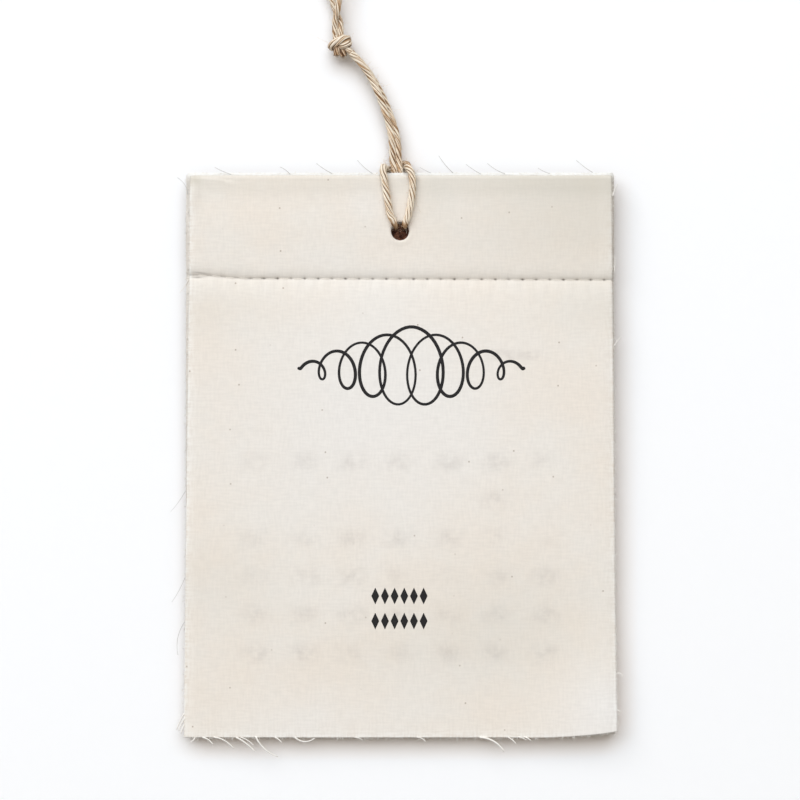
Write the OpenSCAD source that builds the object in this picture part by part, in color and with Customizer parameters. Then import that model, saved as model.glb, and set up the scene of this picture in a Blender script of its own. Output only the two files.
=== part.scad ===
// Cloth wall calendar: a cover and its month sheets sewn together along one seam near the top,
// hung by a jute twine that is hitched through one hole and knotted into a loop.
// X runs to the right, Y towards the wall and Z up. The origin is the nail inside the loop's top.

/* [Sheets] */
// Width of the cover
sheet_w = 150; // [100:1:300]
// Height of the cover
sheet_h = 198; // [140:1:400]
// Thickness of one cloth sheet
sheet_t = 0.32; // [0.24:0.02:0.4]
// Number of month sheets behind the cover
page_count = 12; // [8:1:14]
// How far the month sheets stand out past the cover at each side
page_overhang = 0.5; // [0:0.25:3]
// Width of the lines that part the sheets at their edges
edge_line_w = 0.06; // [0.04:0.01:0.12]
// Depth of those lines
edge_line_depth = 0.8; // [0.4:0.1:1.2]

/* [Seam] */
// Distance of the seam below the top edge
seam_drop = 36; // [30:1:60]
// How far the stitches pull the cover in
seam_dip = 0.8; // [0.2:0.1:1.2]
// Half width of the valley along the seam
seam_spread = 7; // [4:0.5:10]
// Length of one stitch
stitch_pitch = 4.8; // [4:0.1:8]
// Least distance from the outermost needle holes to the cover's sides
seam_margin = 2.5; // [2:0.5:10]
// Diameter of the sewing thread
thread_d = 0.5; // [0.3:0.05:0.6]
// Gap between the thread and the cloth that it lies on
thread_clear = 0.03; // [0.02:0.01:0.1]
// Gap between the two runs of thread in one needle hole, and between the two threads
thread_gap = 0.06; // [0.04:0.01:0.12]
// What a needle hole has to spare around the thread
needle_spare = 0.1; // [0.06:0.02:0.3]

/* [Hanging] */
// Diameter of the hole that the twine passes through
hole_d = 6.5; // [6.3:0.1:9]
// Distance of that hole below the top edge
hole_drop = 20; // [19.8:0.1:20.2]
// Diameter of the twine
twine_d = 2.3; // [1.8:0.1:2.3]
// Gap between the twine and the back of the sheets
twine_clear = 0.1; // [0.1:0.05:0.3]
// Gap between the twine and the cover, where it is drawn over the top edge
front_clear = 0.25; // [0.25:0.05:0.4]
// Distance between the two legs where they are laid together
leg_spacing = 2.44; // [2.4:0.02:2.6]
// Turn of the legs about each other from one route point to the next
leg_turn = 11; // [0:1:30]

/* [Knot] */
// Radius of the knot's core
knot_core = 2.5; // [2.4:0.1:2.8]
// Half length of a wrap round the knot
wrap_reach = 3; // [2.6:0.1:3.4]
// Half depth of a wrap round the knot
wrap_depth = 2.1; // [1.8:0.1:2.3]
// Distance between the two wraps
wrap_step = 1.5; // [1:0.1:1.8]
// Slope of the wraps
wrap_slope = 22; // [10:1:35]
// Length of the cut tails below the knot's middle
tail_len = 4.8; // [3.5:0.1:6]
// Thickness of the knot's flat ends, where the strands meet it
face_t = 0.5; // [0.3:0.1:0.8]

/* [Hidden] */
$fn = 48;
eps = 0.01;

// Place of the sheets under the nail: middle of the width, top edge and back face
mid_x = 24;
top_z = -90;
back_y = -2.6;

// Sheets
pages_t = page_count * sheet_t;
page_front_y = back_y - pages_t;
front_y = page_front_y - sheet_t;
low_z = top_z - sheet_h;
page_w = sheet_w + 2 * page_overhang;

// Valley along the seam, as stations down the sheets
seam_z = top_z - seam_drop;
valley_steps = 6;

// Stitches: needle holes in one row, with both threads locked at the middle of the stack
stitch_count = floor((sheet_w - 2 * seam_margin) / stitch_pitch);
leg_x = (thread_d + thread_gap) / 2;
needle_d = 2 * leg_x + thread_d + needle_spare;
seam_front_y = front_y + seam_dip;
lock_y = (seam_front_y + back_y) / 2;
needle_lay = seam_front_y - thread_d / 2 - thread_clear;
bobbin_lay = back_y + thread_d / 2 + thread_clear;
needle_lock = lock_y - (thread_d + thread_gap) / 2;
bobbin_lock = lock_y + (thread_d + thread_gap) / 2;

// Twine: levels of its lay before and behind the sheets, and where it turns into the hole
hole_z = top_z - hole_drop;
tube_sides = 8;
turn_in = 0.5;
front_lay = front_y - twine_d / 2 - front_clear;
front_turn = front_y - turn_in;
hole_lay = (front_y + back_y) / 2;
back_turn = back_y + turn_in;
back_lay = back_y + twine_d / 2 + twine_clear;
edge_lay = front_lay + turn_in;

// Route of the two legs together, from above the top edge to the knot
pair_route = [
  [22.9, back_lay, -88], [22.4, -1.3, -84], [22.3, -1.3, -79.5], [21.6, -1.2, -74.5], [20.2, -1.2, -69.5],
  [18.4, -1.1, -64.5], [16.2, -1.1, -59.5], [13.2, -1, -54.5], [9.5, -1, -49.5], [6.5, -1, -46.5]
];
// Route from behind the top edge down to the hole, and through it to the front, left and right
left_back = [[22, back_lay, -92], [22.4, back_lay, -98], [22.7, back_lay, -104], [22.75, back_lay, -107.4]];
right_back = [[24.6, back_lay, -92], [25, back_lay, -98], [25.2, back_lay, -104], [25.25, back_lay, -107.4]];
left_hole = [
  [22.75, back_turn, -108.5], [22.75, hole_lay, -108.9], [22.7, front_turn, -108.8], [22.1, front_lay, -107.4]
];
right_hole = [
  [25.25, back_turn, -108.5], [25.25, hole_lay, -108.9], [25.3, front_turn, -108.8], [25.8, front_lay, -107.4]
];
// Route up the front, over the top edge and round behind the legs, left and right
left_front = [
  [20.9, front_lay, -105], [19.8, front_lay, -100], [19, front_lay, -95], [18.3, front_lay, -90.6],
  [18, edge_lay, -88.6], [18.1, front_y, -87.6], [18.5, -3.4, -87.2], [19.2, -0.1, -87.4], [21.2, 1.4, -87.6]
];
right_front = [
  [26.7, front_lay, -105], [27.8, front_lay, -100], [28.4, front_lay, -95], [28.3, front_lay, -91],
  [27.7, edge_lay, -88.9], [27, front_y, -87.8], [26.6, -3.4, -86.7], [26.2, 0, -85.8], [24.6, 1.5, -85.6]
];
// Route of the loop, from the knot up round the nail and back
loop_route = [
  [0.8, -1, -40.5], [0.8, -1, -38], [0.8, -1.9, -35], [1.7, -2.3, -32], [2.4, -1.8, -28], [3.4, -1, -23],
  [4.6, -0.3, -17], [4.8, 0, -11], [4.4, 0, -5], [3.3, 0, -0.5], [1.6, 0, 2.2], [-1.6, 0, 2.2],
  [-3.3, 0, -0.5], [-4.4, 0, -5], [-4.8, 0, -11], [-4.2, 0, -17], [-1.9, 0.3, -23], [0.1, 0.5, -28],
  [1.4, 0.5, -32], [2.9, -0.1, -35], [3.2, -1, -38], [3.2, -1, -40.5]
];

// Knot: where the legs enter it, where the loop leaves it, its middle and its two tails
leg_end = pair_route[len(pair_route) - 1];
leg_tilt = 135;
loop_end = (loop_route[0] + loop_route[len(loop_route) - 1]) / 2;
knot_mid = [2.6, -1, -43.6];
face_r = (leg_spacing + twine_d) / 2;
wrap_points = 16;
tail_spots = [[0.9, -2], [2.9, -1.2]];

function unit(v) = v / norm(v);
function reversed(list) = [for (i = [len(list) - 1:-1:0]) list[i]];

// Depth of the valley at a height, and the faces of the cover and of each month sheet there
function dip(z) = let (u = (z - seam_z) / seam_spread) abs(u) >= 1 ? 0 : seam_dip * (1 + cos(180 * u)) / 2;
function cover_y(z) = front_y + dip(z);
function page_y(z, i) = page_front_y + i * sheet_t + dip(z) * (1 - i / page_count);
function stations(from_z, to_z) = concat(
  [from_z],
  [for (k = [-valley_steps:valley_steps]) seam_z - seam_spread * k / valley_steps],
  [to_z]
);

function needle_x(k) = mid_x + (k - stitch_count / 2) * stitch_pitch;

// One thread as a square wave: down one side of a stitch, along it, and back at its other side
function thread_path(lay, lock) = [
  for (k = [0:stitch_count - 1]) each [
    [needle_x(k) + leg_x, lock, seam_z],
    [needle_x(k) + leg_x, lay, seam_z],
    [needle_x(k + 1) - leg_x, lay, seam_z],
    [needle_x(k + 1) - leg_x, lock, seam_z]
  ]
];

// One leg of the pair: the shared route, stepped aside and turned a little more at each point
function leg_path(side) = [
  for (i = [0:len(pair_route) - 1])
    let (
      last = len(pair_route) - 1,
      along = unit(pair_route[min(i + 1, last)] - pair_route[max(i - 1, 0)]),
      end_along = unit(pair_route[last] - pair_route[last - 1]),
      across = unit(cross([0, 1, 0], i >= last - 1 ? end_along : along)),
      turn = leg_turn * min(i, last - 1)
    )
    pair_route[i] + side * leg_spacing / 2 * (cos(turn) * across + [0, sin(turn), 0])
];

// A wrap round the knot: an ellipse that slopes up to the right
function wrap_path(shift) = [
  for (i = [0:wrap_points - 1])
    let (a = i * 360 / wrap_points)
    knot_mid
      + wrap_reach * cos(a) * [cos(wrap_slope), 0, sin(wrap_slope)]
      + [0, wrap_depth * sin(a), 0]
      + shift * [-sin(wrap_slope), 0, cos(wrap_slope)]
];

// Rings of a tube: each ring is the last one carried along its stretch to the next mitre plane
function first_ring(path, r) =
  let (
    d = unit(path[1] - path[0]),
    n = unit(cross(d, abs(d.z) > 0.9 ? [1, 0, 0] : [0, 0, 1])),
    b = cross(d, n)
  )
  [
    for (j = [0:tube_sides - 1])
      let (a = (j + 0.5) * 360 / tube_sides)
      path[0] + r * (cos(a) * n + sin(a) * b)
  ];
function carried(ring, d, p, t) = [for (q = ring) q + d * (((p - q) * t) / (d * t))];
function rings_from(path, i, ring) = i == len(path) ? [] :
  let (
    d = unit(path[i] - path[i - 1]),
    t = i == len(path) - 1 ? d : unit(d + unit(path[i + 1] - path[i])),
    next = carried(ring, d, path[i], t)
  )
  concat([next], rings_from(path, i + 1, next));

module tube(path, d) {
  start = first_ring(path, d / 2);
  rings = concat([start], rings_from(path, 1, start));
  count = len(rings);
  sides = [
    for (i = [0:count - 2], j = [0:tube_sides - 1])
      let (k = (j + 1) % tube_sides)
      [i * tube_sides + j, (i + 1) * tube_sides + j, (i + 1) * tube_sides + k, i * tube_sides + k]
  ];
  start_cap = [for (j = [0:tube_sides - 1]) j];
  end_cap = [for (j = [tube_sides - 1:-1:0]) (count - 1) * tube_sides + j];
  polyhedron([for (ring = rings) each ring], concat([start_cap], sides, [end_cap]));
}

module across_sheets(w, outline) {
  translate([mid_x - w / 2, 0, 0])
    rotate([90, 0, 90])
      linear_extrude(w)
        polygon(outline);
}

module hanging_hole() {
  translate([mid_x, front_y - 1, hole_z])
    rotate([-90, 0, 0])
      cylinder(d = hole_d, h = back_y - front_y + 2);
}

module needle_holes() {
  for (k = [0:stitch_count])
    translate([needle_x(k), front_y - 1, seam_z])
      rotate([-90, 0, 0])
        cylinder(d = needle_d, h = back_y - front_y + 2);
}

// A thin line round all four edges where one month sheet lies on the next
module edge_line(i) {
  z_list = stations(top_z + eps, low_z - eps);
  core_w = page_w - 2 * edge_line_depth;
  core_h = top_z - low_z - 2 * edge_line_depth;
  difference() {
    across_sheets(page_w + 2 * eps, concat(
      [for (z = z_list) [page_y(z, i) - edge_line_w / 2, z]],
      [for (z = reversed(z_list)) [page_y(z, i) + edge_line_w / 2, z]]
    ));
    translate([mid_x - core_w / 2, front_y, low_z + edge_line_depth])
      cube([core_w, back_y - front_y, core_h]);
  }
}

module front_cover() {
  z_list = stations(top_z, low_z);
  color([0.93, 0.89, 0.86])
    difference() {
      across_sheets(sheet_w, concat(
        [for (z = z_list) [cover_y(z), z]],
        [for (z = reversed(z_list)) [page_y(z, 0), z]]
      ));
      hanging_hole();
      needle_holes();
    }
}

module month_pages() {
  z_list = stations(top_z, low_z);
  color([0.9, 0.86, 0.81])
    difference() {
      across_sheets(page_w, concat(
        [for (z = z_list) [page_y(z, 0), z]],
        [[back_y, low_z], [back_y, top_z]]
      ));
      hanging_hole();
      needle_holes();
      for (i = [1:page_count - 1])
        edge_line(i);
    }
}

module needle_thread() {
  color([0.95, 0.93, 0.88])
    tube(thread_path(needle_lay, needle_lock), thread_d);
}

module bobbin_thread() {
  color([0.94, 0.92, 0.87])
    tube(thread_path(bobbin_lay, bobbin_lock), thread_d);
}

// One strand: down the left leg, through the hole, round over the top edge and back up the right leg
module hitch_twine() {
  left = concat(reversed(leg_path(-1)), left_back, left_hole, left_front);
  right = concat(reversed(leg_path(1)), right_back, right_hole, right_front);
  color([0.74, 0.6, 0.43])
    tube(concat(left, reversed(right)), twine_d);
}

module twine_knot() {
  color([0.66, 0.51, 0.36]) {
    hull() {
      translate(leg_end)
        rotate([0, leg_tilt, 0])
          translate([0, 0, -face_t])
            cylinder(r = face_r, h = face_t, $fn = 32);
      translate(loop_end - [0, 0, face_t])
        cylinder(r = face_r, h = face_t, $fn = 32);
      translate(knot_mid)
        sphere(r = knot_core, $fn = 32);
    }
    for (shift = [-wrap_step / 2, wrap_step / 2])
      closed_wrap(wrap_path(shift));
    for (spot = tail_spots)
      translate([spot.x, spot.y, knot_mid.z - tail_len])
        cylinder(d = twine_d, h = tail_len, $fn = 24);
  }
}

// A wrap closes on itself: a row of short rods with a ball at each bend
module closed_wrap(path) {
  for (i = [0:len(path) - 1])
    hull() {
      translate(path[i]) sphere(d = twine_d, $fn = 12);
      translate(path[(i + 1) % len(path)]) sphere(d = twine_d, $fn = 12);
    }
}

module hanger_twine() {
  color([0.74, 0.6, 0.43])
    tube(loop_route, twine_d);
}

front_cover();
month_pages();
needle_thread();
bobbin_thread();
hitch_twine();
twine_knot();
hanger_twine();
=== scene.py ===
import math

import bpy
import numpy as np
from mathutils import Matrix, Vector


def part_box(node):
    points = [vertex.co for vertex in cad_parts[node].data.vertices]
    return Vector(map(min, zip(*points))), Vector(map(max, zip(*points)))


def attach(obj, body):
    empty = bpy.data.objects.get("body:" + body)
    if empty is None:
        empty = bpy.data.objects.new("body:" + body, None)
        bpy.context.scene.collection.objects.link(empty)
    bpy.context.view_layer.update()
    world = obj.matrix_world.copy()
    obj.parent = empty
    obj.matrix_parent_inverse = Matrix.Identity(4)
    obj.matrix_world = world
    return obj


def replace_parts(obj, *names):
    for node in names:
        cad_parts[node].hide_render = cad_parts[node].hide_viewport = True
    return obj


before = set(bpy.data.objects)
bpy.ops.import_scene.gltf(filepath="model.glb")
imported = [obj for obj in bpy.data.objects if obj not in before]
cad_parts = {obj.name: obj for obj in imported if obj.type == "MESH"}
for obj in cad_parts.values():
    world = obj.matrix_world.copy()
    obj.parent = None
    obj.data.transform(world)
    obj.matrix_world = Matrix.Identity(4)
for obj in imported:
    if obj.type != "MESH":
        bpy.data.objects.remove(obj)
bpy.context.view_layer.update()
scene = bpy.context.scene
scene.view_settings.view_transform = "Standard"
mm = 0.001  # shapes are worked out in millimetres and put into the meshes in metres
rng = np.random.default_rng(31)  # for the slips of the month sheets, then for the fringe


def boxMm(node):
    return [np.array(corner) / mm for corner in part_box(node)]


# The sheets as the solids give them: middle of the width, top edge, front and back of the stack
coverLow, coverHigh = boxMm("front_cover")
pagesLow, pagesHigh = boxMm("month_pages")
seamLow, seamHigh = boxMm("needle_thread")
stack = {
    "midX": (coverLow[0] + coverHigh[0]) / 2,
    "topZ": coverHigh[2],
    "lowZ": coverLow[2],
    "frontY": coverLow[1],
    "backY": pagesHigh[1],
    "seamZ": (seamLow[2] + seamHigh[2]) / 2,
    "pageCount": 12,
    "clothThick": 0.23,
}
stack["pitch"] = (stack["backY"] - stack["frontY"]) / (stack["pageCount"] + 1)
hole = {
    "x": stack["midX"], "z": stack["topZ"] - 20, "radius": 3.25,
    "grid": 3.2,    # half side of the square of cells that is left out
    "reach": 7.0,   # half side of the square inside which the cells are rounded
}
print("frame loaded")


# Smooth step: 0 up to a start, 1 a run further on, which may be downwards, and a cubic between
def ease(t, start=0.0, run=1.0):
    t = np.clip((t - start) / run, 0, 1)
    return t * t * (3 - 2 * t)


# Bell: 1 at the middle, falling off as a Gaussian of the given width
def bell(t, middle, width):
    return np.exp(-(((t - middle) / width) ** 2))


# Uneven line: a sum of sines of rising frequency with seeded phases, from -1 to 1
def uneven(t, seed, length, waves=5):
    draw = np.random.default_rng(seed)
    phase = draw.uniform(0, 2 * np.pi, waves)
    rate = 2 * np.pi / length * (1 + np.arange(waves) * draw.uniform(0.7, 1.3, waves))
    return np.sin(np.asarray(t)[..., None] * rate + phase).sum(-1) / waves


# Every vector divided by its own length
def unit(vectors):
    return vectors / np.linalg.norm(vectors, axis=-1, keepdims=True)


# Length of a path from its start to each of its points
def runOf(path):
    return np.concatenate([[0], np.cumsum(np.linalg.norm(np.diff(path, axis=0), axis=1))])


def lengthOf(path):
    return float(runOf(path)[-1])


# Meshes: points in millimetres, faces as arrays of rows of equal length
def makePiece(name, points, faceSets, material, attributes=None):
    mesh = bpy.data.meshes.new(name)
    points = np.asarray(points, float).reshape(-1, 3)
    rows = np.concatenate([np.full(len(f), f.shape[1]) for f in faceSets])
    corners = np.concatenate([f.ravel() for f in faceSets])
    mesh.vertices.add(len(points))
    mesh.vertices.foreach_set("co", (points * mm).astype(np.float32).ravel())
    mesh.loops.add(len(corners))
    mesh.loops.foreach_set("vertex_index", corners.astype(np.int32))
    mesh.polygons.add(len(rows))
    mesh.polygons.foreach_set("loop_start", (np.cumsum(rows) - rows).astype(np.int32))
    mesh.polygons.foreach_set("use_smooth", np.full(len(rows), True))
    for key, values in (attributes or {}).items():
        kind, field = ("FLOAT_VECTOR", "vector") if np.ndim(values) > 1 else ("FLOAT", "value")
        layer = mesh.attributes.new(key, kind, "POINT")
        layer.data.foreach_set(field, np.ravel(values).astype(np.float32))
    mesh.update(calc_edges=True)
    mesh.materials.append(material)
    piece = bpy.data.objects.new(name, mesh)
    scene.collection.objects.link(piece)
    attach(piece, "root")
    return piece


# Line through chosen points: cubic pieces with central-difference slopes by chord length, at even steps
def smoothPath(points, step):
    points = np.asarray(points, float)
    chord = runOf(points)
    slope = np.gradient(points, chord, axis=0)
    fine = np.linspace(0, chord[-1], int(chord[-1] / step * 4))
    i = np.clip(np.searchsorted(chord, fine, side="right") - 1, 0, len(points) - 2)
    width = (chord[i + 1] - chord[i])[:, None]
    t = (fine - chord[i])[:, None] / width
    line = (
        (1 + 2 * t) * (1 - t) ** 2 * points[i] + t * (1 - t) ** 2 * width * slope[i]
        + t * t * (3 - 2 * t) * points[i + 1] + t * t * (t - 1) * width * slope[i + 1]
    )
    length = runOf(line)
    even = np.linspace(0, length[-1], int(length[-1] / step) + 1)
    return np.stack([np.interp(even, length, line[:, k]) for k in range(3)], axis=1)


# Rings of many tubes at once: a frame turned from a fixed axis to each path's direction by the shortest
# way, and a ring of points about it whose radius may differ at every side
def tubePoints(paths, radii, axis, turn=0.0):
    along = unit(np.gradient(paths, axis=1))
    axis = unit(np.asarray(axis, float))
    one = unit(np.cross(axis, np.eye(3)[np.argmin(np.abs(axis))]))
    lean = (along @ axis)[..., None]
    swing = np.cross(axis, along)

    def turned(v):
        return v * lean + np.cross(swing, v) + swing * (swing @ v)[..., None] / (1 + lean)

    sides = radii.shape[-1]
    angle = np.arange(sides) * 2 * np.pi / sides + np.asarray(turn)[..., None]
    ring = np.cos(angle)[..., None] * turned(one)[:, :, None]
    ring = ring + np.sin(angle)[..., None] * turned(np.cross(axis, one))[:, :, None]
    return paths[:, :, None] + radii[..., None] * ring


# Faces of those tubes: quads between neighbouring rings, and one cap at each end
def tubeFaces(tubes, rings, sides):
    index = np.arange(tubes * rings * sides).reshape(tubes, rings, sides)
    after = np.roll(index, -1, axis=2)
    quads = np.stack([index[:, :-1], after[:, :-1], after[:, 1:], index[:, 1:]], axis=-1).reshape(-1, 4)
    return [quads, index[:, 0, ::-1], index[:, -1]]


# Shader helpers
def feed(socket, value):
    if isinstance(value, bpy.types.NodeSocket):
        socket.id_data.links.new(value, socket)
    else:
        socket.default_value = value


def addNode(tree, kind, inputs=None, **settings):
    node = tree.nodes.new(kind)
    for key, value in settings.items():
        setattr(node, key, value)
    for key, value in (inputs or {}).items():
        feed(node.inputs[key], value)
    return node


# The node tree of the first socket among some values
def treeOf(*values):
    return next(value.id_data for value in values if isinstance(value, bpy.types.NodeSocket))


def mathOf(operation, *values):
    node = addNode(treeOf(*values), "ShaderNodeMath", dict(enumerate(values)), operation=operation)
    return node.outputs[0]


def times(one, two):
    return mathOf("MULTIPLY", one, two)


def offFrom(value, middle):
    return mathOf("ABSOLUTE", mathOf("SUBTRACT", value, middle))


def stretched(vector, scale):
    given = {0: vector, 1: scale}
    return addNode(vector.id_data, "ShaderNodeVectorMath", given, operation="MULTIPLY").outputs[0]


def objectPlace(tree):
    return addNode(tree, "ShaderNodeTexCoord").outputs["Object"]


def partsOf(vector):
    return addNode(vector.id_data, "ShaderNodeSeparateXYZ", {"Vector": vector}).outputs


def attributeOf(tree, name, output="Fac"):
    return addNode(tree, "ShaderNodeAttribute", attribute_name=name).outputs[output]


def noiseOf(vector, scale, detail=2.0, roughness=0.5):
    given = {"Vector": vector, "Scale": scale, "Detail": detail, "Roughness": roughness}
    return addNode(vector.id_data, "ShaderNodeTexNoise", given).outputs["Fac"]


def rangeOf(value, fromLow, fromHigh, toLow=0.0, toHigh=1.0):
    given = {"Value": value, "From Min": fromLow, "From Max": fromHigh, "To Min": toLow, "To Max": toHigh}
    node = addNode(value.id_data, "ShaderNodeMapRange", given, interpolation_type="SMOOTHSTEP")
    return node.outputs["Result"]


def mixColour(share, one, two, blend="MIX"):
    tree = treeOf(share, one, two)
    given = {0: share, 6: one, 7: two}
    return addNode(tree, "ShaderNodeMix", given, data_type="RGBA", blend_type=blend).outputs[2]


def newMaterial(name, roughness):
    material = bpy.data.materials.new(name)
    material.use_nodes = True
    shader = material.node_tree.nodes["Principled BSDF"]
    shader.inputs["Roughness"].default_value = roughness
    shader.inputs["Specular IOR Level"].default_value = 0.2  # dry fibre has little gloss
    return material, material.node_tree


# Last step of a material: its colour, and a bump where there is a height
def finished(material, colour, height=None, strength=0.0, distance=0.0):
    shader = material.node_tree.nodes["Principled BSDF"].inputs
    feed(shader["Base Color"], colour)
    if height is not None:
        given = {"Strength": strength, "Distance": distance, "Height": height}
        feed(shader["Normal"], addNode(material.node_tree, "ShaderNodeBump", given).outputs["Normal"])
    return material


weaveLook = {
    "bendScale": 70.0, "bend": 5.0,       # wander of the threads
    "across": 1300.0, "along": 230.0,     # noise across and along single threads
    "mottleScale": 28.0,
    "cellScale": 62.0, "speckSize": (0.012, 0.026), "speckRare": (0.52, 0.9),
}


# Plain weave in the X and Z of the cloth. Height: product of two sine waves, one thread each, bent a little
# by noise. Streak: uneven threads both ways. Mottle: broad tone. Speck: a few seed specks in Voronoi cells
def weaveGroup():
    group = bpy.data.node_groups.new("plainWeave", "ShaderNodeTree")
    for key, kind in (("Vector", "NodeSocketVector"), ("Threads", "NodeSocketFloat")):
        group.interface.new_socket(key, in_out="INPUT", socket_type=kind)
    for key in ("Height", "Streak", "Mottle", "Speck"):
        group.interface.new_socket(key, in_out="OUTPUT", socket_type="NodeSocketFloat")
    given = group.nodes.new("NodeGroupInput").outputs
    out = group.nodes.new("NodeGroupOutput").inputs
    parts = partsOf(given["Vector"])
    flat = addNode(group, "ShaderNodeCombineXYZ", {"X": parts["X"], "Y": parts["Z"]}).outputs[0]
    bend = times(noiseOf(flat, weaveLook["bendScale"]), weaveLook["bend"])
    waves = []
    for side in ("X", "Z"):
        count = mathOf("MULTIPLY_ADD", parts[side], given["Threads"], bend)
        waves.append(mathOf("SINE", times(count, math.pi)))
    crown = mathOf("ABSOLUTE", times(*waves))
    feed(out["Height"], mathOf("SQRT", crown))
    across, along = weaveLook["across"], weaveLook["along"]
    warp = noiseOf(stretched(flat, (across, along, 1.0)), 1.0)
    weft = noiseOf(stretched(flat, (along, across, 1.0)), 1.0)
    feed(out["Streak"], times(mathOf("ADD", warp, weft), 0.5))
    feed(out["Mottle"], noiseOf(flat, weaveLook["mottleScale"], 4.0, 0.6))
    given = {"Vector": flat, "Scale": weaveLook["cellScale"]}
    cells = addNode(group, "ShaderNodeTexVoronoi", given, voronoi_dimensions="2D").outputs
    chosen = addNode(group, "ShaderNodeSeparateColor", {"Color": cells["Color"]}).outputs["Red"]
    dot = rangeOf(cells["Distance"], *weaveLook["speckSize"], 1.0, 0.0)
    feed(out["Speck"], times(dot, rangeOf(chosen, *weaveLook["speckRare"])))
    return group


weave = weaveGroup()
clothLook = {
    "threads": 2200.0,               # a metre
    "warm": (0.858, 0.783, 0.692, 1),
    "cool": (0.852, 0.805, 0.737, 1),
    "backPage": (0.82, 0.755, 0.68, 1),
    "mottled": (0.3, 0.7),           # where the mottle goes over from warm to cool
    "threadTone": (0.96, 1.027),     # darkest and palest threads
    "streakHeight": 1.4,             # against the weave's own height
    "rawEdge": (0.97, 0.97, 0.935, 1),
    "pageApart": (0.75, 1.0),        # share of whiter threads at the edges of the month sheets
    "coverApart": (0.0, 1.0),        # and of the cover
    "speck": (0.3, 0.21, 0.14, 1),
    "speckShare": 0.55,
    # painted shade of the needle holes and creases
    "pitShade": (0.1, 0.075, 0.06, 1),
    # partly aged cloth, partly painted shade
    "agedAndShaded": (0.62, 0.58, 0.495, 1),
    # partly bleached cloth, partly painted light
    "bleachedAndLit": (0.872, 0.845, 0.806, 1),
}
# Print of the month sheets that shows faintly through the cover: soft blots in seven columns and six rows,
# of which the second is filled from one column on, and a longer blot above them
ghost = {
    "left": -0.0355, "stepX": 0.017, "top": -0.1845, "stepZ": 0.0134,
    "counts": (7, 6), "halves": (0.48, 0.416),
    "filledFrom": 5, "partRow": 1.5, "margin": 0.1,
    "title": (0.064, -0.1535), "titleHalf": (0.017, 0.0028), "titleCore": 0.3,
    "grain": 300.0, "fading": 30.0,
    "ink": (0.31, 0.262, 0.24, 1), "share": 0.23,
}


def placeWeave(tree):
    where = objectPlace(tree)
    given = {"Vector": where, "Threads": clothLook["threads"]}
    return where, addNode(tree, "ShaderNodeGroup", given, node_tree=weave).outputs


# Share of the blots: a soft oval in every filled cell of a grid and one for the title, broken up by noise
def ghostMask(where):
    parts = partsOf(where)
    column = mathOf("DIVIDE", mathOf("SUBTRACT", parts["X"], ghost["left"]), ghost["stepX"])
    row = mathOf("DIVIDE", mathOf("SUBTRACT", ghost["top"], parts["Z"]), ghost["stepZ"])
    ovals = []
    for place, count, half in zip((column, row), ghost["counts"], ghost["halves"]):
        begun = rangeOf(place, 0.0, ghost["margin"])
        going = rangeOf(place, count - ghost["margin"], count, 1.0, 0.0)
        oval = rangeOf(offFrom(mathOf("FRACT", place), 0.5), 0.0, half, 1.0, 0.0)
        ovals.append(times(oval, times(begun, going)))
    early = mathOf("LESS_THAN", column, ghost["filledFrom"])
    empty = times(early, mathOf("COMPARE", row, ghost["partRow"], 0.5))
    cells = times(times(*ovals), mathOf("SUBTRACT", 1.0, empty))
    sides = []
    for axis, middle, half in zip("XZ", ghost["title"], ghost["titleHalf"]):
        off = offFrom(parts[axis], middle)
        sides.append(rangeOf(off, half * ghost["titleCore"], half, 1.0, 0.0))
    blots = mathOf("MULTIPLY_ADD", *sides, cells)
    broken = rangeOf(noiseOf(where, ghost["grain"], 3.0, 0.6), 0.25, 0.75)
    faint = rangeOf(noiseOf(where, ghost["fading"], 1.0), 0.2, 0.6)
    return times(blots, times(broken, faint))


# Cloth: two tones by the mottle, paler and darker threads, white threads at raw edges, and specks on the
# faces. The cover also has its aged and bleached patches, partly painted shade and light, the blots, and
# the painted shade of its needle holes and creases
def clothMaterial(name, warm, apart, isCover=False):
    material, tree = newMaterial(name, 0.93)
    where, woven = placeWeave(tree)
    tone = mixColour(rangeOf(woven["Mottle"], *clothLook["mottled"]), warm, clothLook["cool"])
    if isCover:
        tone = mixColour(attributeOf(tree, "bleachedAndLit"), tone, clothLook["bleachedAndLit"])
    level = rangeOf(woven["Streak"], 0.3, 0.7, *clothLook["threadTone"])
    grey = addNode(tree, "ShaderNodeCombineColor", dict.fromkeys(("Red", "Green", "Blue"), level))
    tone = mixColour(1.0, tone, grey.outputs[0], "MULTIPLY")
    white = times(attributeOf(tree, "frayed"), rangeOf(woven["Streak"], 0.4, 0.6, *apart))
    tone = mixColour(white, tone, clothLook["rawEdge"])
    normal = addNode(tree, "ShaderNodeNewGeometry").outputs["True Normal"]
    facing = mathOf("ABSOLUTE", partsOf(normal)["Y"])
    onFace = rangeOf(facing, 0.3, 0.6, 0.0, clothLook["speckShare"])  # no specks on cut edges
    tone = mixColour(times(woven["Speck"], onFace), tone, clothLook["speck"])
    if isCover:
        tone = mixColour(times(ghostMask(where), ghost["share"]), tone, ghost["ink"])
        for key, colour in (("agedAndShaded", "agedAndShaded"), ("seamShade", "pitShade")):
            tone = mixColour(attributeOf(tree, key), tone, clothLook[colour])
    height = mathOf("MULTIPLY_ADD", woven["Streak"], clothLook["streakHeight"], woven["Height"])
    return finished(material, tone, height, 0.35, 0.00007)


coverCloth = clothMaterial("coverCloth", clothLook["warm"], clothLook["coverApart"], isCover=True)
pageCloth = clothMaterial("pageCloth", clothLook["backPage"], clothLook["pageApart"])
threadLook = {"twistScale": 900.0, "wander": 2.0, "toneScale": 500.0}


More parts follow.
